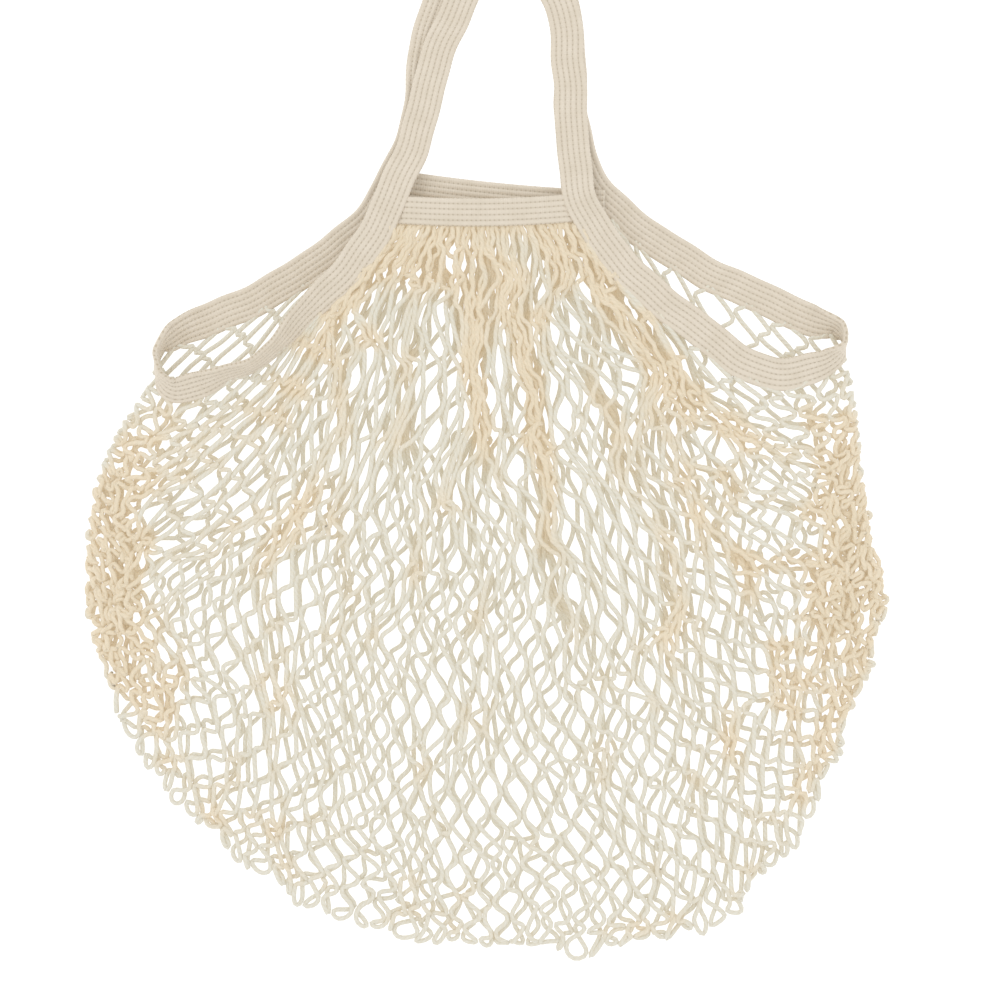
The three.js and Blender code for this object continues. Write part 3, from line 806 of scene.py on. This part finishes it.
def cord_piece(name, lines, crowding):
    # Round tubes along the cords, with a map that holds turns round the cord and millimetres along.
    cords, stops = lines.shape[:2]
    along = unit(np.gradient(lines, axis=1) + TINY)
    normal = np.empty_like(along)
    normal[:, 0] = unit(np.cross(along[:, 0], [0.0, 0.0, 1.0]) + TINY)
    for stop in range(1, stops):
        carried = normal[:, stop - 1]
        carried = carried - along[:, stop] * np.sum(carried * along[:, stop], axis=1, keepdims=True)
        normal[:, stop] = unit(carried)
    third = np.cross(along, normal)
    turn = 2 * np.pi * np.arange(CORD_SIDES) / CORD_SIDES
    radius = CORD_DIAMETER / 2
    rings = lines[:, :, None] + radius * (
        np.cos(turn)[None, None, :, None] * normal[:, :, None]
        + np.sin(turn)[None, None, :, None] * third[:, :, None]
    )
    index = np.arange(cords * stops * CORD_SIDES).reshape(cords, stops, CORD_SIDES)
    after = np.roll(index, -1, axis=2)
    walls = np.stack([index[:, :-1], after[:, :-1], after[:, 1:], index[:, 1:]], axis=-1).reshape(-1, 4)
    caps = np.concatenate([index[:, 0, ::-1], index[:, -1]])
    mesh = bpy.data.meshes.new(name)
    mesh.from_pydata((rings.reshape(-1, 3) * MM).tolist(), [], walls.tolist() + caps.tolist())
    run = running_length(lines)
    start = np.arange(CORD_SIDES) / CORD_SIDES
    finish = (np.arange(CORD_SIDES) + 1) / CORD_SIDES
    wall_map = np.empty((cords, stops - 1, CORD_SIDES, 4, 2))
    wall_map[..., 0, 0] = wall_map[..., 3, 0] = start
    wall_map[..., 1, 0] = wall_map[..., 2, 0] = finish
    wall_map[..., 0, 1] = wall_map[..., 1, 1] = run[:, :-1, None]
    wall_map[..., 2, 1] = wall_map[..., 3, 1] = run[:, 1:, None]
    cord_map = np.concatenate([wall_map.ravel(), np.zeros(caps.size * 2)])
    mesh.uv_layers.new(name="cord").data.foreach_set("uv", cord_map)
    packing = mesh.attributes.new("packing", "FLOAT", "POINT")
    packing.data.foreach_set("value", np.repeat(crowding.ravel(), CORD_SIDES))
    mesh.polygons.foreach_set("use_smooth", [True] * len(mesh.polygons))
    piece = bpy.data.objects.new(name, mesh)
    bpy.context.scene.collection.objects.link(piece)
    return piece


# Soft two-ply cotton cord, unbleached: matt, cream, a little uneven in tone, with a slanting twist.
# Cords that are packed together are painted warmer than one that runs alone: the warmer tone is painted
# bounce light, standing in for the light between them that has met more cotton.
TWIST_PITCH = 2.4
CORD_CLOUD = 11.1
net_cotton = bpy.data.materials.new("twisted_cotton_cord")
net_cotton.use_nodes = True
tree = net_cotton.node_tree
shader = tree.nodes["Principled BSDF"]
cord_map = add_node(tree, "ShaderNodeUVMap", {"uv_map": "cord"}).outputs["UV"]
axes = add_node(tree, "ShaderNodeSeparateXYZ", links={"Vector": cord_map})
turns = add_node(
    tree, "ShaderNodeMath", {"operation": "MULTIPLY", 1: 4 * math.pi}, {0: axes.outputs["X"]}
)
twist = add_node(
    tree, "ShaderNodeMath", {"operation": "MULTIPLY_ADD", 1: 2 * math.pi / TWIST_PITCH},
    {0: axes.outputs["Y"], 2: turns.outputs[0]},
)
ply = add_node(tree, "ShaderNodeMath", {"operation": "SINE"}, {0: twist.outputs[0]})
cloud = add_node(
    tree, "ShaderNodeTexNoise", {"Scale": 1 / (CORD_CLOUD * MM), "Detail": 3.0},
    {"Vector": add_node(tree, "ShaderNodeTexCoord").outputs["Object"]},
)
# Painted bounce light: where the cords lie packed, the tone is mixed towards a warmer cream
packing = add_node(tree, "ShaderNodeAttribute", {"attribute_name": "packing"}).outputs["Fac"]
tones = [
    add_node(
        tree, "ShaderNodeMix", {"data_type": "RGBA", 6: linear(darker), 7: linear(lighter)},
        {0: cloud.outputs["Fac"]},
    ).outputs[2]
    for darker, lighter in (("#bebeb3", "#cfcfc6"), ("#c6b699", "#d7c9b2"))
]
tone = add_node(tree, "ShaderNodeMix", {"data_type": "RGBA"}, {0: packing, 6: tones[0], 7: tones[1]})
# Painted shade: the grooves between the two plies of the twist are darkened towards a dull tan
ply_groove_shade = add_node(
    tree, "ShaderNodeMapRange", {"From Min": -1.0, "From Max": -0.2, "To Min": 0.35, "To Max": 0.0},
    {"Value": ply.outputs[0]},
)
cord_tone_with_groove_shade = add_node(
    tree, "ShaderNodeMix", {"data_type": "RGBA", 7: linear("#b9b097")},
    {0: ply_groove_shade.outputs[0], 6: tone.outputs[2]},
)
tree.links.new(cord_tone_with_groove_shade.outputs[2], shader.inputs["Base Color"])
ply_bump = add_node(
    tree, "ShaderNodeBump", {"Strength": 0.6, "Distance": 0.2 * MM}, {"Height": ply.outputs[0]}
)
tree.links.new(ply_bump.outputs["Normal"], shader.inputs["Normal"])
shader.inputs["Roughness"].default_value = 0.95
shader.inputs["Sheen Weight"].default_value = 0.25
shader.inputs["Sheen Roughness"].default_value = 0.6
shader.inputs["Specular IOR Level"].default_value = 0.25
# Painted light: every cord glows faintly in warm cream, though it is no lamp, which lifts the shade
# between the cords
shader.inputs["Emission Color"].default_value = linear("#f2dcb4")
shader.inputs["Emission Strength"].default_value = 0.2

# The cords are joined into three pieces, from left to right
third_part = cord_count // 3
for name, part in (
    ("net_cords_left", slice(0, third_part)),
    ("net_cords_middle", slice(third_part, cord_count - third_part)),
    ("net_cords_right", slice(cord_count - third_part, cord_count)),
):
    cords = cord_piece(name, cord_lines[part], cord_crowding[part])
    cords.data.materials.append(net_cotton)
    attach(cords, "root")
    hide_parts("net")
